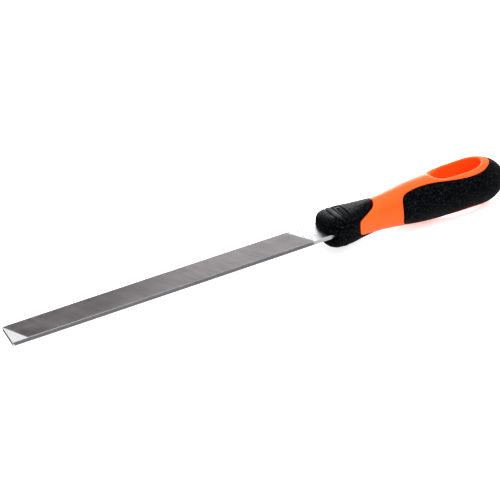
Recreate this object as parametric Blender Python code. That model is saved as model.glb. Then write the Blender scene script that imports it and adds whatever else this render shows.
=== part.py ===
"""A flat file: a steel blade with a tang, and a two-component moulded handle that is pressed onto the tang.

Units are metres and +Z is up. The blade lies flat. The tool points along X, with the tip of the blade at -X and
the end of the handle at +X. The origin is the middle of the whole tool. Y = 0 and Z = 0 are symmetry planes of the
handle, and half a turn about X brings the blade onto itself, because its rows of teeth slant.
Tables of shapes are in millimetres, and MM turns them into metres.
"""

import math

import bmesh
import bpy
import numpy as np

MM = 0.001
OBJECT_NAME = "flat_file"

# The whole tool
TOTAL_LENGTH = 330 * MM
TIP_X = -TOTAL_LENGTH / 2

# The blade, its distances along the tool measured from the tip
BLADE_WIDTH = 20 * MM
TIP_WIDTH = 19.5 * MM
BLADE_THICKNESS = 2.8 * MM
TIP_TAPER_LENGTH = 70 * MM
TIP_TAPER_STEPS = 8
TOOTH_ANGLE = math.radians(65)
CUT_FACE_MIDDLE_END = 185.3 * MM
HEEL_RELIEF = 0.1 * MM
SHOULDER_X = 206.5 * MM
SHOULDER_LENGTH = 4.5 * MM
TANG_ROOT_WIDTH = 9.5 * MM
TANG_END_X = 268 * MM
TANG_END_WIDTH = 4 * MM

# The handle, its distances along the tool measured from its own front end
HANDLE_LENGTH = 130.6 * MM
HANDLE_X = TOTAL_LENGTH / 2 - HANDLE_LENGTH
NOSE_LENGTH = 9.6 * MM
TAIL_LENGTH = 24 * MM
NOSE_ROUNDNESS_WIDTH = 2.2
NOSE_ROUNDNESS_HEIGHT = 3.0
TAIL_ROUNDNESS = 2.3
# Distance from the front, half width, half height and squareness of the section, from nose to tail
HANDLE_SECTIONS = (
    (9.6, 14.0, 10.1, 3.0),
    (16.0, 13.9, 10.1, 2.9),
    (22.0, 12.2, 10.5, 2.6),
    (29.0, 10.3, 10.9, 2.3),
    (37.0, 9.3, 10.9, 2.1),
    (45.0, 9.7, 11.4, 2.1),
    (53.0, 10.9, 12.4, 2.1),
    (61.0, 12.1, 13.5, 2.1),
    (69.0, 13.3, 14.3, 2.1),
    (79.0, 14.5, 14.8, 2.1),
    (93.0, 15.7, 15.1, 2.1),
    (106.6, 16.2, 15.2, 2.1),
)

# The soft overmoulds on the handle
RUBBER_THICKNESS = 2.3 * MM
GAP = 0.3 * MM
COLLAR_CAVITY_START = 7.9 * MM
# Seen from above, one half of where the collar ends and of where the rear grip begins
COLLAR_OUTLINE = (
    (21.5, 20.0),
    (21.5, 12.4),
    (23.1, 11.2),
    (26.4, 9.7),
    (31.2, 7.6),
    (34.5, 5.6),
    (36.1, 2.8),
    (36.5, 0.0),
)
GRIP_OUTLINE = (
    (53.0, 20.0),
    (53.0, 10.8),
    (54.2, 8.4),
    (57.0, 6.8),
    (62.0, 6.4),
    (69.0, 6.7),
    (77.0, 7.8),
    (86.0, 9.7),
    (95.0, 11.2),
    (104.0, 11.7),
    (111.0, 11.0),
    (116.0, 8.6),
    (120.0, 4.6),
    (121.3, 0.0),
)

# The hanging hole
HOLE_WIDEST_X = 100 * MM
HOLE_FRONT_REACH = 19.4 * MM
HOLE_BACK_REACH = 15.4 * MM
HOLE_WIDTH = 16 * MM
HOLE_ROUNDNESS = 2.3

# The socket for the tang, and the flare of the mouth
SOCKET_LENGTH_SPARE = 1.5 * MM
MOUTH_FLARE_DEPTH = 6.2 * MM
MOUTH_FLARE_WIDTH = 25 * MM
MOUTH_FLARE_HEIGHT = 6 * MM

# How finely round shapes are divided
RING_POINTS = 36
NOSE_STEPS = 6
BODY_STEPS = 17
TAIL_STEPS = 7
OUTLINE_STEPS = 4
HOLE_POINTS = 36
# How far the round nose and tail go towards their points before they end in a small flat cap
END_FRACTION = 0.994
CUTTER_HEIGHT = 60 * MM
CUTTER_REACH = 20 * MM

STEEL = ((0.56, 0.56, 0.55), 0.35, 1.0)
ORANGE_PLASTIC = ((1.0, 0.21, 0.02), 0.35, 0.0)
BLACK_RUBBER = ((0.012, 0.013, 0.015), 0.65, 0.0)


def clear_scene():
    for scene_object in list(bpy.data.objects):
        bpy.data.objects.remove(scene_object, do_unlink=True)


def new_collection(name):
    collection = bpy.data.collections.new(name)
    bpy.context.scene.collection.children.link(collection)
    return collection


def new_material(name, finish):
    colour, roughness, metallic = finish
    material = bpy.data.materials.new(name)
    material.use_nodes = True
    shader = material.node_tree.nodes["Principled BSDF"]
    shader.inputs["Base Color"].default_value = (*colour, 1.0)
    shader.inputs["Roughness"].default_value = roughness
    shader.inputs["Metallic"].default_value = metallic
    material.diffuse_color = (*colour, 1.0)
    return material


def add_part(name, mesh, finish, collection):
    part = bpy.data.objects.new(name, mesh)
    collection.objects.link(part)
    mesh.materials.append(new_material(name, finish))
    return part


def add_cutter(name, mesh, collection):
    cutter = bpy.data.objects.new(name, mesh)
    collection.objects.link(cutter)
    cutter.hide_render = True
    cutter.display_type = "WIRE"
    return cutter


def combine(part, other, operation):
    modifier = part.modifiers.new(f"{operation.lower()}_{other.name}", "BOOLEAN")
    modifier.operation = operation
    modifier.solver = "EXACT"
    modifier.object = other


def smooth_line(points, steps):
    """A smooth line through the points: centripetal Catmull-Rom, with each span divided into steps."""
    points = np.array(points, dtype=float)
    first = 2 * points[0] - points[1]
    last = 2 * points[-1] - points[-2]
    padded = np.vstack([first, points, last])
    line = []
    for p0, p1, p2, p3 in zip(padded, padded[1:], padded[2:], padded[3:]):
        t1 = math.sqrt(np.linalg.norm(p1 - p0))
        t2 = t1 + math.sqrt(np.linalg.norm(p2 - p1))
        t3 = t2 + math.sqrt(np.linalg.norm(p3 - p2))
        for t in np.linspace(t1, t2, steps, endpoint=False):
            a1 = ((t1 - t) * p0 + t * p1) / t1
            a2 = ((t2 - t) * p1 + (t - t1) * p2) / (t2 - t1)
            a3 = ((t3 - t) * p2 + (t - t2) * p3) / (t3 - t2)
            b1 = ((t2 - t) * a1 + t * a2) / t2
            b2 = ((t3 - t) * a2 + (t - t1) * a3) / (t3 - t1)
            line.append(((t2 - t) * b1 + (t - t1) * b2) / (t2 - t1))
    line.append(points[-1])
    return np.array(line)


def mirrored_line(half, steps):
    """The smooth outline through a half outline that ends on Y = 0, and its mirror image, in metres."""
    other_half = [(x, -y) for x, y in reversed(half[:-1])]
    return smooth_line([*half, *other_half], steps) * MM


def shifted_line(line, distance):
    """The line moved sideways by the distance, to the left of its direction."""
    along = np.gradient(line, axis=0)
    along /= np.linalg.norm(along, axis=1)[:, None]
    left = np.column_stack([-along[:, 1], along[:, 0]])
    return line + distance * left


def flat_shape(name, outline, height):
    """A mesh of the closed outline, filled and extruded to the height around Z = 0."""
    curve = bpy.data.curves.new(name, "CURVE")
    curve.dimensions = "2D"
    curve.fill_mode = "BOTH"
    curve.extrude = height / 2
    spline = curve.splines.new("POLY")
    spline.points.add(len(outline) - 1)
    for point, (x, y) in zip(spline.points, outline):
        point.co = (x, y, 0.0, 1.0)
    spline.use_cyclic_u = True
    holder = bpy.data.objects.new(name, curve)
    bpy.context.scene.collection.objects.link(holder)
    depsgraph = bpy.context.evaluated_depsgraph_get()
    mesh = bpy.data.meshes.new_from_object(holder.evaluated_get(depsgraph))
    bpy.data.objects.remove(holder, do_unlink=True)
    bpy.data.curves.remove(curve)
    weld(mesh)
    mesh.name = name
    return mesh


def weld(mesh):
    shape = bmesh.new()
    shape.from_mesh(mesh)
    bmesh.ops.remove_doubles(shape, verts=shape.verts, dist=0.001 * MM)
    bmesh.ops.recalc_face_normals(shape, faces=shape.faces)
    shape.to_mesh(mesh)
    shape.free()


def interpolate_section(distance):
    """Half width, half height and squareness of the handle's body, smoothly between the given sections."""
    table = np.array(HANDLE_SECTIONS)
    places = table[:, 0] * MM
    slopes = np.gradient(table[:, 1:], places, axis=0)
    distance = min(max(distance, places[0]), places[-1])
    k = min(int(np.searchsorted(places, distance, side="right")) - 1, len(places) - 2)
    span = places[k + 1] - places[k]
    t = (distance - places[k]) / span
    start = table[k, 1:] * (1 + 2 * t) * (1 - t) ** 2 + slopes[k] * span * t * (1 - t) ** 2
    end = table[k + 1, 1:] * t**2 * (3 - 2 * t) + slopes[k + 1] * span * t**2 * (t - 1)
    half_width, half_height, squareness = start + end
    return half_width * MM, half_height * MM, squareness


def rounded(fraction, roundness):
    """Height of a rounded end over its base, at a fraction of the way to its point."""
    return (1 - fraction**roundness) ** (1 / roundness)


def handle_section(distance):
    """Half width, half height and squareness of the handle, with its rounded nose and tail."""
    half_width, half_height, squareness = interpolate_section(distance)
    nose = END_FRACTION * max(0.0, (NOSE_LENGTH - distance) / NOSE_LENGTH)
    tail = END_FRACTION * max(0.0, (distance - HANDLE_LENGTH + TAIL_LENGTH) / TAIL_LENGTH)
    half_width *= rounded(nose, NOSE_ROUNDNESS_WIDTH) * rounded(tail, TAIL_ROUNDNESS)
    half_height *= rounded(nose, NOSE_ROUNDNESS_HEIGHT) * rounded(tail, TAIL_ROUNDNESS)
    return half_width, half_height, squareness


def handle_stations():
    """Distances of the handle's sections from its front, closer together at its round ends."""
    end = math.asin(END_FRACTION)
    nose_angles = np.linspace(end, 0, NOSE_STEPS, endpoint=False)
    nose = [NOSE_LENGTH * (1 - math.sin(angle) / END_FRACTION) for angle in nose_angles]
    tail_start = HANDLE_LENGTH - TAIL_LENGTH
    body = np.linspace(NOSE_LENGTH, tail_start, BODY_STEPS, endpoint=False)
    tail_angles = np.linspace(0, end, TAIL_STEPS)
    tail = [tail_start + TAIL_LENGTH * math.sin(angle) / END_FRACTION for angle in tail_angles]
    return [*nose, *body, *tail]


def ring(distance, inset):
    """The points of one section of the handle, its outline drawn in by the inset."""
    half_width, half_height, squareness = handle_section(distance)
    half_width -= inset
    half_height -= inset
    points = []
    for k in range(RING_POINTS):
        angle = 2 * math.pi * (k + 0.5) / RING_POINTS
        across = math.cos(angle)
        up = math.sin(angle)
        reach = abs(across / half_width) ** squareness + abs(up / half_height) ** squareness
        radius = reach ** (-1 / squareness)
        points.append((HANDLE_X + distance, radius * across, radius * up))
    return points


def handle_loft(name, stations, inset):
    """A closed body through the handle's sections at the stations, drawn in by the inset."""
    shape = bmesh.new()
    rings = [[shape.verts.new(point) for point in ring(station, inset)] for station in stations]
    for front, back in zip(rings, rings[1:]):
        for k in range(RING_POINTS):
            after = (k + 1) % RING_POINTS
            shape.faces.new((front[k], back[k], back[after], front[after]))
    shape.faces.new(rings[0])
    shape.faces.new(rings[-1])
    bmesh.ops.recalc_face_normals(shape, faces=shape.faces)
    mesh = bpy.data.meshes.new(name)
    shape.to_mesh(mesh)
    shape.free()
    mesh.shade_smooth()
    mesh.set_sharp_from_angle(angle=math.radians(35))
    return mesh


def inner_loft(name, front, inset):
    """The handle's body drawn in by the inset, from the front to a tail that is drawn in as well."""
    stations = [station for station in handle_stations() if station > front + GAP]
    last = HANDLE_LENGTH - inset
    drawn_in = [front, *(station for station in stations if station < last)]
    while min(handle_section(drawn_in[-1])[:2]) < 2 * inset:
        drawn_in.pop()
    return handle_loft(name, drawn_in, inset)


def blade_outline():
    """The blade and its tang seen from above: a tip taper, round shoulders and a tapered tang."""
    half_outline = []
    for k in range(TIP_TAPER_STEPS + 1):
        part_way = k / TIP_TAPER_STEPS
        half_width = BLADE_WIDTH / 2 - (BLADE_WIDTH - TIP_WIDTH) / 2 * (1 - part_way) ** 2
        half_outline.append((TIP_X + TIP_TAPER_LENGTH * part_way, half_width))
    half_outline.append((TIP_X + SHOULDER_X, BLADE_WIDTH / 2))
    half_outline.append((TIP_X + SHOULDER_X + SHOULDER_LENGTH, TANG_ROOT_WIDTH / 2))
    half_outline.append((TIP_X + TANG_END_X, TANG_END_WIDTH / 2))
    other_half = [(x, -y) for x, y in reversed(half_outline)]
    return half_outline + other_half


def socket_outline():
    """The slot for the heel and the socket for the tang, open past the handle's front."""
    front = HANDLE_X - CUTTER_REACH
    half_outline = [
        (front, BLADE_WIDTH / 2 + GAP),
        (TIP_X + SHOULDER_X + GAP, BLADE_WIDTH / 2 + GAP),
        (TIP_X + SHOULDER_X + SHOULDER_LENGTH + 2 * GAP, TANG_ROOT_WIDTH / 2 + GAP),
        (TIP_X + TANG_END_X + SOCKET_LENGTH_SPARE, TANG_END_WIDTH / 2 + GAP),
    ]
    other_half = [(x, -y) for x, y in reversed(half_outline)]
    return half_outline + other_half


def hole_outline():
    """The hanging hole seen from above: an egg shape with its blunt end at the back."""
    outline = []
    power = 2 / HOLE_ROUNDNESS
    for k in range(HOLE_POINTS):
        angle = 2 * math.pi * k / HOLE_POINTS
        across = math.copysign(abs(math.sin(angle)) ** power, math.sin(angle))
        along = math.copysign(abs(math.cos(angle)) ** power, math.cos(angle))
        reach = HOLE_BACK_REACH if along > 0 else HOLE_FRONT_REACH
        outline.append((HANDLE_X + HOLE_WIDEST_X + along * reach, across * HOLE_WIDTH / 2))
    return outline


def make_blade(parts, cutters):
    mesh = flat_shape("file_blade", blade_outline(), BLADE_THICKNESS)
    blade = add_part("file_blade", mesh, STEEL, parts)
    middle = TIP_X + CUT_FACE_MIDDLE_END
    half = BLADE_WIDTH / 2
    slant = half / math.tan(TOOTH_ANGLE)
    far = TOTAL_LENGTH / 2
    # The heel and the tang are ground slightly below the cut faces, from the last slanted row of teeth back
    for name, side in (("heel_relief_upper", 1), ("heel_relief_lower", -1)):
        left = middle - 2 * side * slant
        right = middle + 2 * side * slant
        outline = [(left, 2 * half), (right, -2 * half), (far, -2 * half), (far, 2 * half)]
        relief = add_cutter(name, flat_shape(name, outline, 2 * HEEL_RELIEF), cutters)
        relief.location.z = side * BLADE_THICKNESS / 2
        combine(blade, relief, "DIFFERENCE")
    # The edges of the heel are drawn in by the same amount behind their last tooth
    front = middle + slant
    back = TIP_X + SHOULDER_X + SHOULDER_LENGTH
    for name, side in (("edge_relief_left", 1), ("edge_relief_right", -1)):
        inner = side * (half - HEEL_RELIEF)
        outer = side * (half + HEEL_RELIEF)
        outline = [(front, inner), (back, inner), (back, outer), (front, outer)]
        relief = add_cutter(name, flat_shape(name, outline, CUTTER_HEIGHT), cutters)
        combine(blade, relief, "DIFFERENCE")


def make_handle_cutters(cutters):
    """The shapes that divide the handle's body between the hard core and the soft overmoulds."""
    far = TOTAL_LENGTH / 2 + CUTTER_REACH
    near = HANDLE_X - CUTTER_REACH
    collar_end = mirrored_line(COLLAR_OUTLINE, OUTLINE_STEPS) + (HANDLE_X, 0)
    grip_front = mirrored_line(GRIP_OUTLINE, OUTLINE_STEPS) + (HANDLE_X, 0)
    side = collar_end[0][1]
    core_front = shifted_line(collar_end, GAP)
    core_back = shifted_line(grip_front, -GAP)
    outlines = {
        "collar_region": [*collar_end, (near, -side), (near, side)],
        "grip_region": [*grip_front, (far, -side), (far, side)],
        "core_region": [*core_front, *reversed(core_back)],
    }
    shapes = {
        name: add_cutter(name, flat_shape(name, outline, CUTTER_HEIGHT), cutters)
        for name, outline in outlines.items()
    }
    cavity = inner_loft("rubber_cavity", COLLAR_CAVITY_START, RUBBER_THICKNESS)
    shapes["rubber_cavity"] = add_cutter("rubber_cavity", cavity, cutters)
    inside = inner_loft("core_inside", COLLAR_CAVITY_START + GAP, RUBBER_THICKNESS + GAP)
    shapes["core_inside"] = add_cutter("core_inside", inside, cutters)
    slot_height = BLADE_THICKNESS - 2 * HEEL_RELIEF + 2 * GAP
    socket = flat_shape("tang_socket", socket_outline(), slot_height)
    shapes["tang_socket"] = add_cutter("tang_socket", socket, cutters)
    hole = flat_shape("hanging_hole", hole_outline(), CUTTER_HEIGHT)
    shapes["hanging_hole"] = add_cutter("hanging_hole", hole, cutters)
    shapes["mouth_flare"] = add_cutter("mouth_flare", mouth_flare(slot_height), cutters)
    return shapes


def mouth_flare(slot_height):
    """A wedge that opens the slot towards the front of the handle."""
    shape = bmesh.new()
    bmesh.ops.create_cube(shape, size=1)
    back = HANDLE_X + MOUTH_FLARE_DEPTH
    front = HANDLE_X - GAP
    for vert in shape.verts:
        at_back = vert.co.x > 0
        width = BLADE_WIDTH + 2 * GAP if at_back else MOUTH_FLARE_WIDTH
        height = slot_height if at_back else MOUTH_FLARE_HEIGHT
        vert.co.x = back if at_back else front
        vert.co.y *= width
        vert.co.z *= height
    mesh = bpy.data.meshes.new("mouth_flare")
    shape.to_mesh(mesh)
    shape.free()
    return mesh


def make_core(shapes, parts):
    mesh = handle_loft("handle_core", handle_stations(), 0.0)
    core = add_part("handle_core", mesh, ORANGE_PLASTIC, parts)
    combine(core, shapes["core_region"], "INTERSECT")
    combine(core, shapes["core_inside"], "UNION")
    combine(core, shapes["tang_socket"], "DIFFERENCE")
    combine(core, shapes["hanging_hole"], "DIFFERENCE")


def make_collar(shapes, parts):
    mesh = handle_loft("front_collar", handle_stations(), 0.0)
    collar = add_part("front_collar", mesh, BLACK_RUBBER, parts)
    combine(collar, shapes["collar_region"], "INTERSECT")
    combine(collar, shapes["rubber_cavity"], "DIFFERENCE")
    combine(collar, shapes["tang_socket"], "DIFFERENCE")
    combine(collar, shapes["mouth_flare"], "DIFFERENCE")


def make_grip(shapes, parts):
    mesh = handle_loft("rear_grip", handle_stations(), 0.0)
    grip = add_part("rear_grip", mesh, BLACK_RUBBER, parts)
    combine(grip, shapes["grip_region"], "INTERSECT")
    combine(grip, shapes["rubber_cavity"], "DIFFERENCE")


def main():
    clear_scene()
    parts = new_collection(OBJECT_NAME)
    cutters = new_collection("cutters")
    make_blade(parts, cutters)
    shapes = make_handle_cutters(cutters)
    make_core(shapes, parts)
    make_collar(shapes, parts)
    make_grip(shapes, parts)


main()
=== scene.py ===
"""The looks of a flat file: cut and ground steel, an orange plastic core and black rubber overmoulds.

Shapes are worked out in millimetres and turned into metres by MM. On the blade, distances run from its tip.
On the handle, they run from the handle's front end. The CAD nodes give both starting points.
"""

import math

import bmesh
import bpy
import numpy as np
from mathutils import Matrix, Vector
from mathutils.kdtree import KDTree


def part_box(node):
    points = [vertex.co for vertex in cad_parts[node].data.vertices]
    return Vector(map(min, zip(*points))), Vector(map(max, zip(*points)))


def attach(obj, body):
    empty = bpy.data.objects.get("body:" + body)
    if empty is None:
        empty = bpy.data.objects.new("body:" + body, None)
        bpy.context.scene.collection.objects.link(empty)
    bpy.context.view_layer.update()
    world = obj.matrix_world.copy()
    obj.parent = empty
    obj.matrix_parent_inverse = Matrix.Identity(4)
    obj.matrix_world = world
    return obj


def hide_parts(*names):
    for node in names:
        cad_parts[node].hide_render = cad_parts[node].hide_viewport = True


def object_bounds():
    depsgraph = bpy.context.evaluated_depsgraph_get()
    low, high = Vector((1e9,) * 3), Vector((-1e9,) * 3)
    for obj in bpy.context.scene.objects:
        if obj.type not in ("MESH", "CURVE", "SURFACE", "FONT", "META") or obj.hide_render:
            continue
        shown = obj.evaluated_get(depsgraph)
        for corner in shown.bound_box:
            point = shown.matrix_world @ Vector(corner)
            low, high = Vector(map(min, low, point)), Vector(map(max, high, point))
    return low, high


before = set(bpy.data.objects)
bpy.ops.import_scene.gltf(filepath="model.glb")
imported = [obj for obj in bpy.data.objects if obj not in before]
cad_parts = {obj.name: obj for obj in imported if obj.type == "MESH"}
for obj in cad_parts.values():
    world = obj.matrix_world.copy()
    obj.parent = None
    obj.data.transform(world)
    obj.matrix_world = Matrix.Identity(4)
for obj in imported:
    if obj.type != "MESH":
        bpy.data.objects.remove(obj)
CAD_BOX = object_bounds()

MM = 0.001
BLADE_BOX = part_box("file_blade")
HANDLE_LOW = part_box("front_collar")[0]
HANDLE_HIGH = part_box("rear_grip")[1]

# The blade
TIP_X = BLADE_BOX[0].x
HALF_WIDTH = BLADE_BOX[1].y / MM
HALF_THICKNESS = BLADE_BOX[1].z / MM
TANG_END = (BLADE_BOX[1].x - TIP_X) / MM
TIP_NARROWING = 0.25
TIP_TAPER_LENGTH = 70.0
HEEL_RELIEF = 0.1
TOOTH_ANGLE = math.radians(65)
CUT_EDGE_END = 191.0
HEEL_END = 203.0
FORGED_START = HEEL_END + 4
RIM_TOLERANCE = 0.01
# The heel's shoulders and the tang: distance, half width and half thickness
TANG_SECTIONS = (
    (206.5, 9.9, 1.3),
    (207.5, 9.3, 1.3),
    (208.6, 7.9, 1.3),
    (209.8, 6.2, 1.3),
    (211.0, 4.9, 1.3),
    (213.0, 4.55, 1.29),
    (225.0, 4.0, 1.27),
    (240.0, 3.35, 1.22),
    (255.0, 2.65, 1.1),
    (TANG_END - 1.2, 2.05, 0.92),
    (TANG_END, 1.5, 0.6),
)

# Its teeth: one row reaches as far along the blade, from edge to edge, as ROW_TEETH teeth
ROW_REACH = 2 * HALF_WIDTH / math.tan(TOOTH_ANGLE)
ROW_TEETH = 14
EDGE_ROW_TEETH = 2
TOOTH_PITCH = ROW_REACH / ROW_TEETH
TOOTH_PROFILE = ((0.0, 1.0), (0.19, 0.0), (0.27, 0.06), (0.55, 0.52), (0.84, 0.93))
TOOTH_DEPTH = 0.2
EDGE_TOOTH_DEPTH = 0.16
TOOTH_WOBBLE = 0.012
CORNER_LAND = 0.22
CORNER_FADE = 0.35
FACE_COLUMNS = (-1.0, -0.97, -0.7, -0.35, 0.0, 0.35, 0.7, 0.97, 1.0)

# The handle: distance, half width, half height and squareness of its sections
HANDLE_LENGTH = (HANDLE_HIGH.x - HANDLE_LOW.x) / MM
HANDLE_SECTIONS = np.array([
    (9.6, 14.0, 10.1, 3.0),
    (16.0, 13.9, 10.1, 2.9),
    (22.0, 12.2, 10.5, 2.6),
    (29.0, 10.3, 10.9, 2.3),
    (37.0, 9.3, 10.9, 2.1),
    (45.0, 9.7, 11.4, 2.1),
    (53.0, 10.9, 12.4, 2.1),
    (61.0, 12.1, 13.5, 2.1),
    (69.0, 13.3, 14.3, 2.1),
    (79.0, 14.5, 14.8, 2.1),
    (93.0, 15.7, 15.1, 2.1),
    (106.6, 16.2, 15.2, 2.1),
])
NOSE_LENGTH = 9.6
NOSE_FRACTION = 0.994
NOSE_ROUNDNESS_WIDTH = 2.2
NOSE_ROUNDNESS_HEIGHT = 3.0
TAIL_LENGTH = 24.0
TAIL_ROUNDNESS = 2.3
RUBBER_THICKNESS = 2.3
CORE_GAP = 0.3

# Where the rubber ends, seen from above, as half outlines
COLLAR_OUTLINE = (
    (21.5, 20.0),
    (21.5, 12.4),
    (23.1, 11.2),
    (26.4, 9.7),
    (31.2, 7.6),
    (34.5, 5.6),
    (36.1, 2.8),
    (36.5, 0.0),
)
GRIP_OUTLINE = (
    (53.0, 20.0),
    (53.0, 10.8),
    (54.2, 8.4),
    (57.0, 6.8),
    (62.0, 6.4),
    (69.0, 6.7),
    (77.0, 7.8),
    (86.0, 9.7),
    (95.0, 11.2),
    (104.0, 11.7),
    (111.0, 11.0),
    (116.0, 8.6),
    (120.0, 4.6),
    (121.3, 0.0),
)
OUTLINE_STEPS = 12

# The rounded edges along the parting line between rubber and plastic
RUBBER_LIP = 0.6
PLASTIC_LIP = 0.35
PARTING_GAP = 0.15
LIP_STEPS = (0.0, 0.07, 0.18, 0.36, 0.62, 1.0)

# The hanging hole
HOLE_WIDEST = 100.0
HOLE_FRONT_REACH = 19.4
HOLE_BACK_REACH = 15.4
HOLE_WIDTH = 16.0
HOLE_ROUNDNESS = 2.3
HOLE_POINTS = 144
HOLE_RIM = 1.9
HOLE_RIM_GROWTH = 2.6
HOLE_DRAFT = 0.35
HOLE_WALL_ROWS = 10
HOLE_RIM_EVEN = 6.0
HOLE_ZONE = 40.0

# The collar's two grooves: distance at the top, how far they sweep back at the side, and how suddenly
GROOVES = ((8.1, 2.8, 3.0), (12.3, 2.2, 4.0))
GROOVE_HALF_WIDTH = 0.5
GROOVE_DEPTH = 0.6
GROOVE_SWEEP_WIDTH = 12.8
GROOVE_LOWEST = 5.6
GROOVE_FADE = 0.8
POCKETS = ((10.9, 6.1), (13.9, 6.8))
POCKET_RADIUS = 1.1
POCKET_DEPTH = 1.0
RIDGE_HEIGHT = 0.2
PANEL = (13.3, 17.2, 7.0)
PANEL_DEPTH = 0.3
PANEL_SOFTNESS = 0.25
PANEL_SIDE_DEPTH = 0.8
PANEL_SIDE_WIDTH = 0.6
PANEL_SLIT_WIDTH = 0.9
PANEL_SLIT_DEPTH = 1.3
# The generic bars on the panel: their middle, half length and pitch, and how far to the side they go
PANEL_BARS = (15.3, 1.1, 1.9, 4.9)

# The mouth and the socket for the tang
COLLAR_CAVITY_START = 7.9
MOUTH_HALF_HEIGHT = 1.6
MOUTH_HALF_WIDTH = 10.3
MOUTH_LIP = 1.3
MOUTH_SIDE_FLARE = 4.6
MOUTH_FLARE_LENGTH = 7.1
MOUTH_FLARE_FADE = 1.5
SOCKET_SHOULDER = (7.4, 12.3)
SOCKET_HALF_WIDTHS = (10.3, 5.05, 2.3)
SOCKET_SPARE = 1.5
MOUTH_COLUMNS = 41
NOSE_SAMPLES = 200

# How finely the handle's pieces are divided, and from which angle their edges stay sharp
QUARTER_SAMPLES = 513
CORE_SHARP_ANGLE = 40
RUBBER_SHARP_ANGLE = 50
NOSE_STEPS = 26
TAIL_STEPS = 34
CORE_STEP = 0.8
CORE_QUARTER_POINTS = 40
COLLAR_FINE_STEP = 0.15
COLLAR_FINE_END = 20.0
COLLAR_STEP = 0.5
COLLAR_END = 38.0
COLLAR_QUARTER_POINTS = 60
GRIP_START = 51.0
GRIP_STEP = 0.8
GRIP_QUARTER_POINTS = 40
LINE_SAMPLES = 10
LINE_REACH = 3.0
UNDERCUT = 0.02
WELD = 0.001

# Material indices on the blade
FACE_CUT, EDGE_CUT, GROUND, TANG = range(4)

# The camera, in metres and degrees
CAMERA_PLACE = (-0.3004, -0.6805, 0.4235)
CAMERA_AZIMUTH = -22.92
CAMERA_ELEVATION = 29.61
CAMERA_ROLL = -6.65
CAMERA_LENS = 103.0

# Height of the rubber's grain, in millimetres
RUBBER_GRAIN = 0.6
# The cut steel's darkest and lightest colours, on the faces and on the narrow edges; the edges' colours are
# darker as painted shade
FACE_STEEL = ((0.25, 0.233, 0.239), (0.40, 0.373, 0.382))
SHADED_EDGE_STEEL = ((0.155, 0.157, 0.16), (0.235, 0.238, 0.242))
# Ground steel's colour at the tip and at the heel, and where along X, in millimetres, the second is reached.
# The darker heel colour is painted shade, toning down the light near the heel
GROUND_STEEL = ((0.60, 0.608, 0.62), (0.40, 0.407, 0.415))
HEEL_SHADE_FROM = 35.0

FLOOR_SIZE = 8.0
FLOOR_GAP = 0.0003
FLOOR_GLOW = 0.36
STUDIO_DIM = 0.02
# Direction, where the glow starts and is full along it, and brightness
STUDIO_GLOWS = (
    ((0.45, 0.35, 0.82), 0.0, 0.8, 1.35),
    ((0.15, -0.5, -0.85), 0.2, 0.8, 1.3),
    ((0.34, -0.49, 0.8), 0.75, 0.97, 1.3),
)
# Name, place in metres, size in metres, power in watts and whether it shows in reflections
LIGHTS = (
    ("behind_heel", (0.19, 0.27, 0.05), (0.22, 0.1), 1.1, True),
    ("front_fill", (-0.5, -1.2, 0.7), (1.5, 1.0), 11.0, False),
    ("above", (0.2, 0.3, 0.9), (0.6, 0.6), 8.0, False),
)


def mesh_from(name, shape, start_x):
    """A mesh of the shape, which is in millimetres and measured along X from start_x."""
    shape.transform(Matrix.Translation((start_x, 0.0, 0.0)) @ Matrix.Scale(MM, 4))
    mesh = bpy.data.meshes.new(name)
    shape.to_mesh(mesh)
    shape.free()
    return mesh


def add_piece(name, mesh, materials, body, slot_name, *nodes):
    """A piece of the model that rides on a body and stands for CAD nodes."""
    piece = bpy.data.objects.new(name, mesh)
    bpy.context.scene.collection.objects.link(piece)
    for material in materials:
        mesh.materials.append(material)
    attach(piece, body)
    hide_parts(*nodes)
    return piece


def cut_out(mesh, cutter_mesh):
    """The mesh with the cutter's solid taken out of it."""
    solids = [bpy.data.objects.new("solid", data) for data in (mesh, cutter_mesh)]
    for solid in solids:
        bpy.context.scene.collection.objects.link(solid)
    modifier = solids[0].modifiers.new("cut", "BOOLEAN")
    modifier.operation = "DIFFERENCE"
    modifier.solver = "MANIFOLD"
    modifier.object = solids[1]
    depsgraph = bpy.context.evaluated_depsgraph_get()
    result = bpy.data.meshes.new_from_object(solids[0].evaluated_get(depsgraph))
    result.name = mesh.name
    result.materials.clear()
    for solid in solids:
        bpy.data.objects.remove(solid)
    return result


def shade(mesh, sharp_angle):
    mesh.shade_smooth()
    mesh.set_sharp_from_angle(angle=math.radians(sharp_angle))


# Materials


def node_adder(tree):
    """A helper that adds a node to the tree, with values or links for its inputs."""

    def add(kind, inputs=None, **settings):
        node = tree.nodes.new(kind)
        for key, value in settings.items():
            setattr(node, key, value)
        for key, value in (inputs or {}).items():
            if isinstance(value, bpy.types.NodeSocket):
                tree.links.new(value, node.inputs[key])
            else:
                node.inputs[key].default_value = value
        return node

    return add


def new_material(name):
    """A material, its shader, and the helper that adds nodes to it."""
    material = bpy.data.materials.new(name)
    material.use_nodes = True
    return material, material.node_tree.nodes["Principled BSDF"], node_adder(material.node_tree)


def connect(shader, **sockets):
    """Links outputs to the shader's inputs, which are named with _ for a space."""
    for name, output in sockets.items():
        shader.id_data.links.new(output, shader.inputs[name.replace("_", " ")])


def place(add, stretch=(1.0, 1.0, 1.0), turn=0.0):
    """The piece's own coordinates in millimetres, turned about Z and then stretched along the axes."""
    coordinates = add("ShaderNodeTexCoord").outputs["Object"]
    inputs = {"Vector": coordinates, "Rotation": (0.0, 0.0, turn)}
    turned = add("ShaderNodeMapping", inputs).outputs["Vector"]
    scale = tuple(factor / MM for factor in stretch)
    return add("ShaderNodeMapping", {"Vector": turned, "Scale": scale}).outputs["Vector"]


def noise(add, vector, scale, detail=2.0):
    inputs = {"Vector": vector, "Scale": scale, "Detail": detail}
    return add("ShaderNodeTexNoise", inputs).outputs["Fac"]


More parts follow.
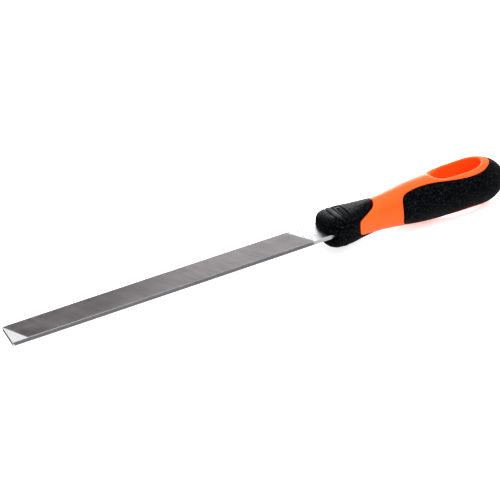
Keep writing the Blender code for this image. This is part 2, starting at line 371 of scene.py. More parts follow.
def mix_colours(add, factor, first, second):
    node = add("ShaderNodeMix", {"Factor": factor}, data_type="RGBA")
    node.inputs[6].default_value = (*first, 1.0)
    node.inputs[7].default_value = (*second, 1.0)
    return node.outputs[2]


def spread(add, value, low, high):
    """The middle of a noise's range, spread out from low to high."""
    inputs = {"Value": value, "From Min": 0.3, "From Max": 0.7, "To Min": low, "To Max": high}
    return add("ShaderNodeMapRange", inputs).outputs["Result"]


def bump(add, height, distance):
    """A bump of the height given, with its full distance in millimetres."""
    return add("ShaderNodeBump", {"Height": height, "Distance": distance * MM}).outputs["Normal"]


def cut_steel_material(name, dark, light):
    """Hardened steel where teeth are cut: grey, with faint streaks along the rows and soft patches."""
    material, shader, add = new_material(name)
    streaks = noise(add, place(add, (0.5, 0.05, 0.5), TOOTH_ANGLE - math.pi / 2), 1.0, 4.0)
    patches = noise(add, place(add, (0.05, 0.12, 0.1)), 1.0, 3.0)
    tone = add("ShaderNodeMath", {0: streaks, 1: patches}, operation="ADD").outputs["Value"]
    halved = add("ShaderNodeMath", {0: tone, 1: 0.5}, operation="MULTIPLY").outputs["Value"]
    colour = mix_colours(add, spread(add, halved, 0.0, 1.0), dark, light)
    connect(shader, Base_Color=colour, Roughness=spread(add, patches, 0.34, 0.46))
    connect(shader, Normal=bump(add, noise(add, place(add), 5.0), 0.01))
    shader.inputs["Metallic"].default_value = 1.0
    return material


def ground_steel_material():
    """Bare steel, ground across the blade to a soft shine, with painted shade that darkens it towards the
    heel.
    """
    material, shader, add = new_material("ground_steel")
    lines = noise(add, place(add, (4.0, 0.15, 0.25), math.radians(8)), 1.0, 3.0)
    # Painted shade: the colour grows darker from the tip towards the heel, against the brighter light there
    along = add("ShaderNodeSeparateXYZ", {0: place(add)}).outputs["X"]
    inputs = {"Value": along, "From Min": TIP_X / MM, "From Max": HEEL_SHADE_FROM}
    painted_shade_to_heel = add("ShaderNodeMapRange", inputs).outputs["Result"]
    colour = mix_colours(add, painted_shade_to_heel, *GROUND_STEEL)
    connect(shader, Base_Color=colour, Roughness=spread(add, lines, 0.22, 0.36))
    connect(shader, Normal=bump(add, lines, 0.002))
    shader.inputs["Metallic"].default_value = 1.0
    return material


def tang_steel_material():
    """The forged tang: dark scale, rubbed bright in places."""
    material, shader, add = new_material("tang_steel")
    patches = noise(add, place(add, (0.4, 1.0, 1.0)), 0.35, 5.0)
    colour = mix_colours(add, spread(add, patches, 0.0, 1.0), (0.10, 0.098, 0.10), (0.38, 0.36, 0.34))
    connect(shader, Base_Color=colour, Roughness=spread(add, patches, 0.42, 0.62))
    connect(shader, Normal=bump(add, noise(add, place(add), 1.2, 5.0), 0.05))
    shader.inputs["Metallic"].default_value = 1.0
    return material


def orange_plastic_material():
    """Moulded orange plastic with a soft satin skin."""
    material, shader, add = new_material("orange_plastic")
    patches = noise(add, place(add), 0.05, 2.0)
    colour = mix_colours(add, spread(add, patches, 0.0, 1.0), (0.94, 0.08, 0.006), (0.97, 0.092, 0.008))
    connect(shader, Base_Color=colour, Roughness=spread(add, noise(add, place(add), 0.8), 0.36, 0.44))
    connect(shader, Normal=bump(add, noise(add, place(add), 3.0), 0.006))
    shader.inputs["Specular IOR Level"].default_value = 0.14
    return material


def black_rubber_material():
    """Soft black rubber with a fine pebbled grain, whose tops are painted lighter and bluish as painted
    highlights.
    """
    material, shader, add = new_material("black_rubber")
    pebbles = spread(add, noise(add, place(add), 1.2, 2.0), 0.0, 1.0)
    grain = spread(add, noise(add, place(add), 1.9, 2.0), 0.0, 1.0)
    height = add("ShaderNodeMath", {0: pebbles, 1: grain}, operation="ADD").outputs["Value"]
    # Painted highlights: the tops of the pebbles get a lighter colour, standing in for specks that catch the
    # light
    painted_glints = add("ShaderNodeMapRange", {"Value": pebbles, "From Min": 0.6, "From Max": 0.95}).outputs["Result"]
    colour = mix_colours(add, painted_glints, (0.0002, 0.0003, 0.0005), (0.018, 0.021, 0.028))
    patches = noise(add, place(add), 0.12, 3.0)
    connect(shader, Base_Color=colour, Roughness=spread(add, patches, 0.42, 0.55))
    connect(shader, Normal=bump(add, height, RUBBER_GRAIN))
    shader.inputs["Specular IOR Level"].default_value = 0.025
    return material


# The blade


def lattice(index):
    """Places of the tooth profile's points along a corner of the blade, held between tip and heel."""
    tooth = index // len(TOOTH_PROFILE)
    wobble = np.sin(tooth * 2.4) * np.sin(tooth * 0.37 + 1.0) * TOOTH_WOBBLE
    fraction = np.array([where for where, _ in TOOTH_PROFILE])[index % len(TOOTH_PROFILE)]
    return np.clip((tooth + fraction) * TOOTH_PITCH + wobble, 0.0, HEEL_END)


def tooth_depth(index):
    """How far the profile's points lie below the crests, as a share of a tooth's depth."""
    tooth = index // len(TOOTH_PROFILE)
    share = np.array([depth for _, depth in TOOTH_PROFILE])[index % len(TOOTH_PROFILE)]
    return share * (0.94 + 0.06 * np.sin(tooth * 1.7)) + 0.02 * (1 + np.sin(tooth * 0.91))


def blade_half_width(x):
    return HALF_WIDTH - TIP_NARROWING * np.clip(1 - x / TIP_TAPER_LENGTH, 0, 1) ** 2


def face_grid(index, row_points, last, side):
    """A face of the blade: rows of points across it, which slant one way above and the other way below."""
    across = np.array(FACE_COLUMNS)
    near = lattice(index)[:, None]
    far = lattice(index - row_points)[:, None]
    x = near + (far - near) * (1 + across) / 2
    y = across * (blade_half_width(x) - CORNER_LAND)
    cut = (index >= row_points) & (index <= last)
    fade = np.where(np.abs(across) == 1, CORNER_FADE, 1.0)
    teeth = TOOTH_DEPTH * tooth_depth(index)[:, None] * fade
    depth = np.where(cut[:, None], teeth, HEEL_RELIEF)
    return np.stack([x, side * y, side * (HALF_THICKNESS - depth)], axis=2), cut


def edge_grid(index, row_points, last, side):
    """An edge of the blade: rows of two points, from the corner of one face to that of the other."""
    x = np.stack([lattice(index), lattice(index + row_points)], axis=1)
    cut = (index >= 0) & (index <= last - row_points)
    depth = np.where(cut, EDGE_TOOTH_DEPTH * tooth_depth(index), HEEL_RELIEF)[:, None]
    y = blade_half_width(x) - depth
    z = np.broadcast_to([HALF_THICKNESS - CORNER_LAND, CORNER_LAND - HALF_THICKNESS], x.shape)
    return np.stack([x, -side * y, side * z], axis=2), cut


def add_grid(shape, grid, cut, cut_index=GROUND):
    """Adds a grid of points as faces, which get the cut steel's index between two cut rows."""
    verts = [[shape.verts.new(point) for point in row] for row in grid]
    for row, after, row_cut, after_cut in zip(verts, verts[1:], cut, cut[1:]):
        for k in range(len(row) - 1):
            face = shape.faces.new((row[k], row[k + 1], after[k + 1], after[k]))
            face.material_index = cut_index if row_cut and after_cut else GROUND


def open_edges(shape, x):
    """The boundary edges that lie at this distance."""
    rim = [edge for edge in shape.edges if edge.is_boundary]
    return [edge for edge in rim if all(abs(vert.co.x - x) < RIM_TOLERANCE for vert in edge.verts)]


def make_blade(materials):
    """The blade as one closed body: toothed faces and edges, ground lands at its corners, heel and tang."""
    phases = len(TOOTH_PROFILE)
    slant = ROW_TEETH * phases
    edge_slant = EDGE_ROW_TEETH * phases
    last = int(CUT_EDGE_END / TOOTH_PITCH) * phases
    index = np.arange(-slant, int(HEEL_END / TOOTH_PITCH) * phases + 2 * slant)
    plain = np.zeros(len(index), dtype=bool)
    shape = bmesh.new()
    for side in (1, -1):
        face, face_cut = face_grid(index, slant, last, side)
        edge, edge_cut = edge_grid(index, edge_slant, last, side)
        other_edge, _ = edge_grid(index, edge_slant, last, -side)
        add_grid(shape, face, face_cut, FACE_CUT)
        add_grid(shape, edge, edge_cut, EDGE_CUT)
        # The lands along both corners of this face
        add_grid(shape, np.stack([face[:, 0], edge[:, 0]], axis=1), plain)
        shift = slant + edge_slant
        add_grid(shape, np.stack([face[shift:, -1], other_edge[:-shift, 1]], axis=1), plain)
    bmesh.ops.remove_doubles(shape, verts=shape.verts, dist=WELD)
    bmesh.ops.dissolve_degenerate(shape, edges=shape.edges, dist=WELD)
    bmesh.ops.holes_fill(shape, edges=open_edges(shape, 0.0))
    add_tang(shape)
    bmesh.ops.recalc_face_normals(shape, faces=shape.faces)
    mesh = mesh_from("blade", shape, TIP_X)
    return add_piece("blade", mesh, materials, "file", "blade_steel", "file_blade")


def add_tang(shape):
    """Draws the open end of the heel out through the sections of the shoulders and the tang."""
    rim = open_edges(shape, HEEL_END)
    half_width = max(v.co.y for edge in rim for v in edge.verts)
    half_thickness = max(v.co.z for edge in rim for v in edge.verts)
    for x, new_width, new_thickness in TANG_SECTIONS:
        made = bmesh.ops.extrude_edge_only(shape, edges=rim)["geom"]
        for vert in (item for item in made if isinstance(item, bmesh.types.BMVert)):
            vert.co.x = x
            vert.co.y *= new_width / half_width
            vert.co.z *= new_thickness / half_thickness
        for face in (item for item in made if isinstance(item, bmesh.types.BMFace)):
            face.material_index = TANG if x > FORGED_START else GROUND
        half_width = new_width
        half_thickness = new_thickness
        rim = open_edges(shape, x)
    for face in bmesh.ops.holes_fill(shape, edges=rim)["faces"]:
        face.material_index = TANG


# The handle's body


def interpolate_section(distance):
    """Half width, half height and squareness of the body, smoothly between the given sections."""
    places = HANDLE_SECTIONS[:, 0]
    values = HANDLE_SECTIONS[:, 1:]
    slopes = np.gradient(values, places, axis=0)
    distance = np.clip(distance, places[0], places[-1])
    k = np.clip(np.searchsorted(places, distance, side="right") - 1, 0, len(places) - 2)
    span = (places[k + 1] - places[k])[:, None]
    t = (distance - places[k])[:, None] / span
    start = values[k] * (1 + 2 * t) * (1 - t) ** 2 + slopes[k] * span * t * (1 - t) ** 2
    end = values[k + 1] * t**2 * (3 - 2 * t) + slopes[k + 1] * span * t**2 * (t - 1)
    return (start + end).T


def rounded(fraction, roundness):
    """Height of a rounded end over its base, at a fraction of the way to its point."""
    return (1 - np.clip(fraction, 0, 0.99995) ** roundness) ** (1 / roundness)


def section(distance):
    """Half width, half height and squareness of the handle, with its rounded nose and tail."""
    half_width, half_height, squareness = interpolate_section(distance)
    nose = NOSE_FRACTION * (NOSE_LENGTH - distance) / NOSE_LENGTH
    tail = (distance - HANDLE_LENGTH + TAIL_LENGTH) / TAIL_LENGTH
    half_width = half_width * rounded(nose, NOSE_ROUNDNESS_WIDTH) * rounded(tail, TAIL_ROUNDNESS)
    half_height = half_height * rounded(nose, NOSE_ROUNDNESS_HEIGHT) * rounded(tail, TAIL_ROUNDNESS)
    return half_width, half_height, squareness


def rings(stations, quarter_points):
    """Rings of points around the handle at the stations, evenly spaced along each quarter of a section."""
    angles = np.linspace(0, math.pi / 2, QUARTER_SAMPLES)
    all_rings = []
    for station, half_width, half_height, squareness in zip(stations, *section(stations)):
        reach = np.abs(np.cos(angles) / half_width) ** squareness
        reach += np.abs(np.sin(angles) / half_height) ** squareness
        radius = reach ** (-1 / squareness)
        across = radius * np.cos(angles)
        up = radius * np.sin(angles)
        length = np.concatenate([[0], np.cumsum(np.hypot(np.diff(across), np.diff(up)))])
        even = np.linspace(0, length[-1], quarter_points + 1)
        across = np.interp(even, length, across)
        up = np.interp(even, length, up)
        y = np.concatenate([across[:-1], -across[:0:-1], -across[:-1], across[:0:-1]])
        z = np.concatenate([up[:-1], up[:0:-1], -up[:-1], -up[:0:-1]])
        all_rings.append(np.column_stack([np.full(len(y), station), y, z]))
    return np.array(all_rings)


def level(points):
    """Below 1 inside the handle, above 1 outside it, and 1 on its surface."""
    half_width, half_height, squareness = section(points[:, 0])
    return np.abs(points[:, 1] / half_width) ** squareness + np.abs(points[:, 2] / half_height) ** squareness


def normals(points):
    """Outward directions at points of the handle's surface."""
    slopes = []
    for axis in np.eye(3) * 0.01:
        slopes.append(level(points + axis) - level(points - axis))
    slopes = np.array(slopes).T
    slopes[points[:, 0] > HANDLE_LENGTH - 0.02] = (1.0, 0.0, 0.0)
    return slopes / np.linalg.norm(slopes, axis=1)[:, None]


def loft(stations, quarter_points, tail_point=False):
    """The handle's surface through rings of points, open at its front, and behind without a tail point."""
    shape = bmesh.new()
    verts = [[shape.verts.new(point) for point in ring] for ring in rings(stations, quarter_points)]
    count = 4 * quarter_points
    for front, back in zip(verts, verts[1:]):
        for k in range(count):
            after = (k + 1) % count
            shape.faces.new((front[k], front[after], back[after], back[k]))
    if tail_point:
        tip = shape.verts.new((HANDLE_LENGTH, 0.0, 0.0))
        for k in range(count):
            shape.faces.new((verts[-1][k], verts[-1][(k + 1) % count], tip))
    return shape


def positions(shape):
    return np.array([vert.co for vert in shape.verts])


# Outlines and cuts along them


def smooth_line(points, steps):
    """A smooth line through the points: centripetal Catmull-Rom, with each span divided into steps."""
    points = np.array(points, dtype=float)
    padded = np.vstack([2 * points[0] - points[1], points, 2 * points[-1] - points[-2]])
    line = []
    for p0, p1, p2, p3 in zip(padded, padded[1:], padded[2:], padded[3:]):
        t1 = math.sqrt(np.linalg.norm(p1 - p0))
        t2 = t1 + math.sqrt(np.linalg.norm(p2 - p1))
        t3 = t2 + math.sqrt(np.linalg.norm(p3 - p2))
        t = np.linspace(t1, t2, steps, endpoint=False)[:, None]
        a1 = ((t1 - t) * p0 + t * p1) / t1
        a2 = ((t2 - t) * p1 + (t - t1) * p2) / (t2 - t1)
        a3 = ((t3 - t) * p2 + (t - t2) * p3) / (t3 - t2)
        b1 = ((t2 - t) * a1 + t * a2) / t2
        b2 = ((t3 - t) * a2 + (t - t1) * a3) / (t3 - t1)
        line.append(((t2 - t) * b1 + (t - t1) * b2) / (t2 - t1))
    return np.vstack([*line, points[-1]])


def rubber_region(half_outline, end_x):
    """The closed outline of a rubber part seen from above, from its smooth end out to end_x."""
    other_half = [(x, -y) for x, y in reversed(half_outline[:-1])]
    line = smooth_line([*half_outline, *other_half], OUTLINE_STEPS)
    side = line[0][1]
    return np.vstack([line, (end_x, -side), (end_x, side)])


def hole_outline():
    """The hanging hole seen from above: an egg shape with its blunt end at the back."""
    angles = np.linspace(0, 2 * math.pi, HOLE_POINTS, endpoint=False)
    power = 2 / HOLE_ROUNDNESS
    along = np.sign(np.cos(angles)) * np.abs(np.cos(angles)) ** power
    across = np.sign(np.sin(angles)) * np.abs(np.sin(angles)) ** power
    reach = np.where(along > 0, HOLE_BACK_REACH, HOLE_FRONT_REACH)
    return np.column_stack([HOLE_WIDEST + along * reach, across * HOLE_WIDTH / 2])


def plan_distance(points, outline):
    """Distances from the closed outline, seen from above, above zero inside it."""
    nearest = np.full(len(points), np.inf)
    inside = np.zeros(len(points), dtype=bool)
    x, y = points[:, 0], points[:, 1]
    for (x0, y0), (x1, y1) in zip(outline, np.roll(outline, -1, axis=0)):
        along_x, along_y = x1 - x0, y1 - y0
        t = ((x - x0) * along_x + (y - y0) * along_y) / (along_x**2 + along_y**2)
        t = np.clip(t, 0, 1)
        nearest = np.minimum(nearest, np.hypot(x - x0 - t * along_x, y - y0 - t * along_y))
        if y0 != y1:
            crosses = (y0 > y) != (y1 > y)
            inside ^= crosses & (x < x0 + (y - y0) * along_x / along_y)
    return np.where(inside, nearest, -nearest)


def measure(shape, name, values):
    layer = shape.verts.layers.float.new(name)
    for vert, value in zip(shape.verts, values):
        vert[layer] = value
    return layer


def split_along(shape, layer, value):
    """Cuts the faces along the line on which the layer has the value."""
    marked = {vert for vert in shape.verts if vert[layer] == value}
    for edge in list(shape.edges):
        start, end = edge.verts
        before = start[layer] - value
        after = end[layer] - value
        if before * after < 0:
            _, vert = bmesh.utils.edge_split(edge, start, before / (before - after))
            vert[layer] = value
            marked.add(vert)
    for face in {face for vert in marked for face in vert.link_faces}:
        ends = [vert for vert in face.verts if vert in marked]
        if len(ends) == 2 and not any(edge.other_vert(ends[0]) == ends[1] for edge in ends[0].link_edges):
            bmesh.utils.face_split(face, *ends)


def measure_from_line(shape, layer):
    """Replaces the layer's plan distances by true distances from its zero line, with the same signs."""
    line = [edge for edge in shape.edges if all(vert[layer] == 0 for vert in edge.verts)]
    tree = KDTree(len(line) * LINE_SAMPLES)
    for k, edge in enumerate(line):
        for step in range(LINE_SAMPLES):
            tree.insert(edge.verts[0].co.lerp(edge.verts[1].co, step / LINE_SAMPLES), k)
    tree.balance()
    for vert in shape.verts:
        if 0 < abs(vert[layer]) < LINE_REACH:
            vert[layer] = math.copysign(max(tree.find(vert.co)[2], WELD), vert[layer])


def remove_faces(shape, layer, below):
    """Removes the faces whose value is below the limit, with what only they use."""
    middle = {face: sum(vert[layer] for vert in face.verts) / len(face.verts) for face in shape.faces}
    doomed = [face for face, value in middle.items() if value < below]
    bmesh.ops.delete(shape, geom=doomed, context="FACES")


def lip(distance, radius):
    """How far a rounded edge lies below the surface, at distances from where it ends."""
    inward = np.clip(radius - distance, 0, radius)
    return radius - np.sqrt(radius**2 - inward**2)


def smooth_step(value):
    value = np.clip(value, 0, 1)
    return value**2 * (3 - 2 * value)


def layer_values(shape, layer):
    return np.array([vert[layer] for vert in shape.verts])


def move_all(shape, points):
    for vert, point in zip(shape.verts, points):
        vert.co = point


# The pieces of the handle


def body_stations(start, end, step):
    """Evenly spaced stations, closer together over the round tail, up to just before its point."""
    tail_start = HANDLE_LENGTH - TAIL_LENGTH
    body = np.arange(start, min(end, tail_start), step)
    angles = np.linspace(0, math.asin(0.9985), TAIL_STEPS)
    tail = tail_start + TAIL_LENGTH * np.sin(angles)
    return np.concatenate([body, tail])


def mark_rubber(shape, half_outline, end_x):
    """A layer with the distance from where a rubber part ends, above zero on the rubber."""
    outline = rubber_region(half_outline, end_x)
    layer = measure(shape, f"rubber_{end_x:.0f}", plan_distance(positions(shape), outline))
    split_along(shape, layer, 0.0)
    measure_from_line(shape, layer)
    return layer


def make_core(materials):
    """The orange core: bare at the waist and on both sides of the hole, and drawn in under the rubber."""
    front = COLLAR_CAVITY_START + CORE_GAP
    shape = loft(body_stations(front, HANDLE_LENGTH, CORE_STEP), CORE_QUARTER_POINTS, tail_point=True)
    surface = positions(shape)
    hole = measure(shape, "hole", -plan_distance(surface, hole_outline()) / hole_rim(surface[:, 0]))
    collar = mark_rubber(shape, COLLAR_OUTLINE, -HANDLE_LENGTH)
    grip = mark_rubber(shape, GRIP_OUTLINE, 2 * HANDLE_LENGTH)
    for layer in (collar, grip):
        split_along(shape, layer, -PARTING_GAP + UNDERCUT)
        for step in LIP_STEPS:
            split_along(shape, layer, -PARTING_GAP - PLASTIC_LIP * step)
    for step in LIP_STEPS:
        split_along(shape, hole, step)
    remove_faces(shape, hole, 0.0)
    surface = positions(shape)
    from_rubber = -PARTING_GAP - np.maximum(layer_values(shape, collar), layer_values(shape, grip))
    under_rubber = RUBBER_THICKNESS + CORE_GAP
    depth = np.where(from_rubber < -WELD, under_rubber, lip(from_rubber, PLASTIC_LIP))
    moved = surface - normals(surface) * depth[:, None]
    rim_depth = hole_rim(surface[:, 0]) * lip(layer_values(shape, hole), 1.0)
    moved[:, 2] -= np.sign(surface[:, 2]) * rim_depth
    moved[surface[:, 0] < front + WELD, 0] = front
    move_all(shape, moved)
    add_hole_wall(shape)
    bmesh.ops.holes_fill(shape, edges=open_edges(shape, front))
    bmesh.ops.recalc_face_normals(shape, faces=shape.faces)
    mesh = cut_out(mesh_from("core", shape, HANDLE_LOW.x), socket_mesh())
    shade(mesh, CORE_SHARP_ANGLE)
    return add_piece("core", mesh, materials, "handle", "orange_plastic", "handle_core")


def hole_rim(x):
    """Radius of the hole's rounded rim, which grows towards the front of the hole."""
    forward = (HOLE_WIDEST - HOLE_RIM_EVEN - x) / (HOLE_FRONT_REACH - HOLE_RIM_EVEN)
    return HOLE_RIM + HOLE_RIM_GROWTH * smooth_step(forward)


def add_hole_wall(shape):
    """Joins the upper rim of the hole to the lower one, with a slight draft to its middle."""
    rim = [edge for edge in shape.edges if edge.is_boundary and edge.verts[0].co.x > HOLE_WIDEST - HOLE_ZONE]
    upper = [edge for edge in rim if edge.verts[0].co.z > 0]
    verts = {vert for edge in upper for vert in edge.verts}
    lower = {vert for edge in rim for vert in edge.verts} - verts
    tree = KDTree(len(lower))
    below = list(lower)
    for k, vert in enumerate(below):
        tree.insert((vert.co.x, vert.co.y, 0.0), k)
    tree.balance()
    columns = {}
    for vert in verts:
        partner = below[tree.find((vert.co.x, vert.co.y, 0.0))[1]]
        point = np.array([vert.co])
        inward = np.array([plan_distance(point + step, hole_outline())[0] for step in np.eye(3)[:2] * 0.05])
        inward -= [plan_distance(point - step, hole_outline())[0] for step in np.eye(3)[:2] * 0.05]
        inward /= np.linalg.norm(inward)
        column = [vert]
        for row in range(1, HOLE_WALL_ROWS):
            part_way = row / HOLE_WALL_ROWS
            place_on_wall = vert.co.lerp(partner.co, part_way)
            draft = HOLE_DRAFT * (1 - abs(1 - 2 * part_way))
            place_on_wall.x += draft * inward[0]
            place_on_wall.y += draft * inward[1]
            column.append(shape.verts.new(place_on_wall))
        columns[vert] = [*column, partner]
    for edge in upper:
        first, second = (columns[vert] for vert in edge.verts)
        for row in range(HOLE_WALL_ROWS):
            shape.faces.new((first[row], second[row], second[row + 1], first[row + 1]))


def slab(half_outline, half_heights):
    """A closed flat body from a half outline in plan, with a half height for each of its points."""
    shape = bmesh.new()
    loops = []
    for side in (1, -1):
        upper = [shape.verts.new((x, y, side * h)) for (x, y), h in zip(half_outline, half_heights)]
        mirrored = [shape.verts.new((x, -y, side * h)) for (x, y), h in zip(half_outline, half_heights)]
        loops.append([*upper, *reversed(mirrored)])
        for k in range(len(half_outline) - 1):
            shape.faces.new((upper[k], upper[k + 1], mirrored[k + 1], mirrored[k]))
    count = len(loops[0])
    for k in range(count):
        after = (k + 1) % count
        shape.faces.new((loops[0][k], loops[0][after], loops[1][after], loops[1][k]))
    bmesh.ops.recalc_face_normals(shape, faces=shape.faces)
    return shape


def socket_mesh():
    """The room for the heel and the tang inside the core."""
    start, shoulder = SOCKET_SHOULDER
    wide, middle, narrow = SOCKET_HALF_WIDTHS
    end = (TANG_END * MM + TIP_X - HANDLE_LOW.x) / MM + SOCKET_SPARE
    outline = [(COLLAR_CAVITY_START - 1, wide), (start, wide), (shoulder, middle), (end, narrow)]
    shape = slab(outline, [MOUTH_HALF_HEIGHT] * len(outline))
    return mesh_from("socket", shape, HANDLE_LOW.x)


def mouth_mesh():
    """The slot through the collar, its lips rounded along the curved front of the nose."""
    shape = bmesh.new()
    across = np.linspace(-1, 1, MOUTH_COLUMNS)
    nose_places = np.linspace(0, NOSE_LENGTH, NOSE_SAMPLES)
    nose_widths = section(nose_places)[0]
    inward = np.concatenate([[-3.0, -1.0], MOUTH_LIP * np.array([*LIP_STEPS, 3.0, 6.0, 10.0])])
    rows = []
    for step in inward:
        row = []
        for share in across:
            x = np.interp(abs(share) * MOUTH_HALF_WIDTH, nose_widths, nose_places) + step
            flare = MOUTH_SIDE_FLARE * smooth_step((MOUTH_FLARE_LENGTH - x) / MOUTH_FLARE_FADE)
            y = share * (MOUTH_HALF_WIDTH + flare)
            height = MOUTH_HALF_HEIGHT + lip(np.array([max(step, 0.0)]), MOUTH_LIP)[0] - min(step, 0.0)
            row.append((x, y, height))
        rows.append(row)
    rings = []
    for side in (1, -1):
        verts = [[shape.verts.new((x, y, side * h)) for x, y, h in row] for row in rows]
        for front, back in zip(verts, verts[1:]):
            for k in range(len(front) - 1):
                shape.faces.new((front[k], front[k + 1], back[k + 1], back[k]))
        ends = [row[-1] for row in verts[1:-1]], [row[0] for row in verts[-2:0:-1]]
        rings.append([*verts[0], *ends[0], *verts[-1][::-1], *ends[1]])
    for k in range(len(rings[0])):
        shape.faces.new((rings[0][k - 1], rings[0][k], rings[1][k], rings[1][k - 1]))
    bmesh.ops.recalc_face_normals(shape, faces=shape.faces)
    return mesh_from("mouth", shape, HANDLE_LOW.x)


def panel_depth(x, y):
    """Depths of the sunk panel with its generic bars, its deeper side lines and the slit behind it."""
    start, end, width = PANEL
    soft = PANEL_SOFTNESS
    inside = smooth_step((x - start) / soft) * smooth_step((end - x) / soft + 1)
    middle, half_length, pitch, reach = PANEL_BARS
    bars = smooth_step((half_length - np.abs(x - middle)) / soft)
    bars = bars * smooth_step((reach - np.abs(y)) / soft)
    bars = bars * smooth_step(0.5 + 1.5 * np.cos(2 * math.pi * y / pitch))
    depth = PANEL_DEPTH * inside * smooth_step((width - np.abs(y)) / (2 * soft)) * (1 - bars)
    side = 1 - smooth_step(np.abs(np.abs(y) - width) / PANEL_SIDE_WIDTH)
    depth = np.maximum(depth, PANEL_SIDE_DEPTH * side * inside)
    slit = np.abs(x - end - PANEL_SLIT_WIDTH / 2) / (PANEL_SLIT_WIDTH / 2)
    slit = (1 - smooth_step(slit * 1.6 - 0.6)) * smooth_step((width - 1 - np.abs(y)) / 0.6)
    return np.maximum(depth, PANEL_SLIT_DEPTH * slit)


def collar_relief(points):
    """Depths of the grooves, pockets and name panel on the collar, below zero for its ridges."""
    x, y, z = points.T
    upright = smooth_step((np.abs(z) - GROOVE_LOWEST) / GROOVE_FADE)
    depth = np.zeros(len(points))
    centres = []
    for start, sweep, power in GROOVES:
        centre = start + sweep * (np.abs(y) / GROOVE_SWEEP_WIDTH) ** power
        groove = GROOVE_DEPTH * (1 - smooth_step(np.abs(x - centre) / GROOVE_HALF_WIDTH))
        depth = np.maximum(depth, groove * upright)
        centres.append(centre)
    along_ridge = (x - centres[0]) / (centres[1] - centres[0])
    ridge = RIDGE_HEIGHT * np.sin(math.pi * np.clip(along_ridge, 0, 1)) * upright
    for pocket_x, pocket_z in POCKETS:
        reach = np.hypot(x - pocket_x, np.abs(z) - pocket_z) / POCKET_RADIUS
        depth = np.maximum(depth, POCKET_DEPTH * (1 - smooth_step(reach)))
    return np.maximum(depth, panel_depth(x, y) * (z > 0)) - ridge


def make_collar(materials):
    """The rubber collar: a round nose with a slot for the blade, grooves for the fingers and two tongues."""
    nose_angles = np.linspace(math.pi / 2, 0, NOSE_STEPS, endpoint=False)
    nose = NOSE_LENGTH * (1 - np.sin(nose_angles))
    nose = nose[nose < COLLAR_CAVITY_START - 1]
    fine = np.arange(COLLAR_CAVITY_START - 1, COLLAR_FINE_END, COLLAR_FINE_STEP)
    fine = np.append(fine, COLLAR_CAVITY_START)
    coarse = np.arange(COLLAR_FINE_END, COLLAR_END, COLLAR_STEP)
    shape = loft(np.unique(np.concatenate([nose, fine, coarse]).round(4)), COLLAR_QUARTER_POINTS)
    layer = mark_rubber(shape, COLLAR_OUTLINE, -HANDLE_LENGTH)
    for step in LIP_STEPS:
        split_along(shape, layer, RUBBER_LIP * step)
    remove_faces(shape, layer, 0.0)
    surface = positions(shape)
    depth = lip(layer_values(shape, layer), RUBBER_LIP) + collar_relief(surface)
    outer = surface - normals(surface) * depth[:, None]
    close_shell(shape, surface, outer, COLLAR_CAVITY_START)
    bmesh.ops.holes_fill(shape, edges=open_edges(shape, COLLAR_CAVITY_START))
    bmesh.ops.holes_fill(shape, edges=open_edges(shape, 0.0))
    bmesh.ops.recalc_face_normals(shape, faces=shape.faces)
    mesh = cut_out(mesh_from("collar", shape, HANDLE_LOW.x), mouth_mesh())
    shade(mesh, RUBBER_SHARP_ANGLE)
    return add_piece("collar", mesh, materials, "handle", "black_rubber", "front_collar")


def close_shell(shape, surface, outer, cavity_start):
    """Moves the surface to its outer place, and adds an inner surface behind the start of the cavity."""
    inner = surface - normals(surface) * RUBBER_THICKNESS
    at_start = np.abs(surface[:, 0] - cavity_start) < WELD
    inner[at_start, 0] = cavity_start
    verts = list(shape.verts)
    rim = [edge for edge in shape.edges if edge.is_boundary]
    move_all(shape, outer)
    behind = surface[:, 0] > cavity_start - WELD
    twins = {}
    for vert, point, use in zip(verts, inner, behind):
        if use:
            twins[vert] = shape.verts.new(point)
    for face in list(shape.faces):
        if all(vert in twins for vert in face.verts):
            shape.faces.new([twins[vert] for vert in reversed(face.verts)])
    for edge in rim:
        first, second = edge.verts
        if first in twins and second in twins:
            shape.faces.new((first, second, twins[second], twins[first]))


def make_grip(materials):
    """The rubber grip around the tail and both sides of the handle."""
    stations = body_stations(GRIP_START, HANDLE_LENGTH, GRIP_STEP)
    shape = loft(stations, GRIP_QUARTER_POINTS, tail_point=True)
    layer = mark_rubber(shape, GRIP_OUTLINE, 2 * HANDLE_LENGTH)
    for step in LIP_STEPS:
        split_along(shape, layer, RUBBER_LIP * step)
    remove_faces(shape, layer, 0.0)
    surface = positions(shape)
    outer = surface - normals(surface) * lip(layer_values(shape, layer), RUBBER_LIP)[:, None]
    close_shell(shape, surface, outer, 0.0)
    bmesh.ops.recalc_face_normals(shape, faces=shape.faces)
    mesh = mesh_from("grip", shape, HANDLE_LOW.x)
    shade(mesh, RUBBER_SHARP_ANGLE)
    return add_piece("grip", mesh, materials, "handle", "black_rubber", "rear_grip")


# The camera, the floor and the light


def add_camera():
    camera = bpy.data.objects.new("camera", bpy.data.cameras.new("camera"))
    camera.data.lens = CAMERA_LENS
    camera.data.clip_end = 20.0
    turn = Matrix.Rotation(math.radians(CAMERA_AZIMUTH), 4, "Z")
    tilt = Matrix.Rotation(math.radians(90 - CAMERA_ELEVATION), 4, "X")
    roll = Matrix.Rotation(math.radians(CAMERA_ROLL), 4, "Z")
    camera.matrix_world = Matrix.Translation(CAMERA_PLACE) @ turn @ tilt @ roll
    bpy.context.scene.collection.objects.link(camera)
    bpy.context.scene.camera = camera


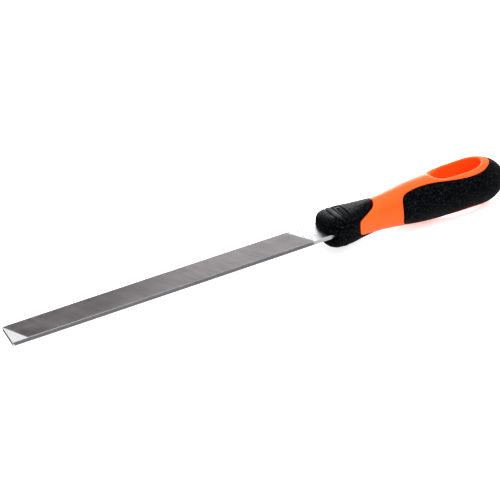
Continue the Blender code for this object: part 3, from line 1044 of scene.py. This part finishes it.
def add_floor():
    shape = bmesh.new()
    bmesh.ops.create_grid(shape, x_segments=1, y_segments=1, size=FLOOR_SIZE / 2)
    mesh = bpy.data.meshes.new("floor")
    shape.to_mesh(mesh)
    shape.free()
    floor = bpy.data.objects.new("floor", mesh)
    floor.location.z = CAD_BOX[0].z - FLOOR_GAP
    floor.visible_glossy = False
    bpy.context.scene.collection.objects.link(floor)
    material, shader, _ = new_material("floor")
    shader.inputs["Base Color"].default_value = (0.93, 0.93, 0.93, 1.0)
    shader.inputs["Roughness"].default_value = 0.8
    shader.inputs["Emission Color"].default_value = (1.0, 1.0, 1.0, 1.0)
    shader.inputs["Emission Strength"].default_value = FLOOR_GLOW
    mesh.materials.append(material)


def add_light(name, place, size, power, reflected):
    light = bpy.data.lights.new(name, "AREA")
    light.shape = "RECTANGLE"
    light.size, light.size_y = size
    light.energy = power
    holder = bpy.data.objects.new(name, light)
    holder.location = place
    holder.visible_glossy = reflected
    holder.rotation_mode = "QUATERNION"
    holder.rotation_quaternion = (-Vector(place)).to_track_quat("-Z", "Y")
    bpy.context.scene.collection.objects.link(holder)


def add_world():
    """A dim studio with soft glows around the tool. The camera itself sees plain white."""
    world = bpy.data.worlds.new("studio")
    world.use_nodes = True
    tree = world.node_tree
    add = node_adder(tree)
    direction = add("ShaderNodeTexCoord").outputs["Generated"]
    glow = STUDIO_DIM
    for toward, low, high, strength in STUDIO_GLOWS:
        product = add("ShaderNodeVectorMath", {0: direction, 1: toward}, operation="DOT_PRODUCT")
        dot = product.outputs["Value"]
        inputs = {"Value": dot, "From Min": low, "From Max": high, "To Max": strength}
        part = add("ShaderNodeMapRange", inputs, interpolation_type="SMOOTHSTEP").outputs["Result"]
        glow = add("ShaderNodeMath", {0: glow, 1: part}, operation="ADD").outputs["Value"]
    camera_ray = add("ShaderNodeLightPath").outputs["Is Camera Ray"]
    seen = add("ShaderNodeMix", {"Factor": camera_ray, 2: glow, 3: 1.0}, data_type="FLOAT").outputs[0]
    background = tree.nodes["Background"]
    background.inputs["Color"].default_value = (1.0, 1.0, 1.0, 1.0)
    tree.links.new(seen, background.inputs["Strength"])
    bpy.context.scene.world = world


def main():
    bpy.context.scene.view_settings.view_transform = "Standard"
    add_camera()
    add_floor()
    add_world()
    for light in LIGHTS:
        add_light(*light)
    face_steel = cut_steel_material("face_steel", *FACE_STEEL)
    # The narrow edges get a darker copy of the cut steel: painted shade
    shaded_edge_steel = cut_steel_material("shaded_edge_steel", *SHADED_EDGE_STEEL)
    make_blade([face_steel, shaded_edge_steel, ground_steel_material(), tang_steel_material()])
    make_core([orange_plastic_material()])
    rubber = black_rubber_material()
    make_collar([rubber])
    make_grip([rubber])


main()
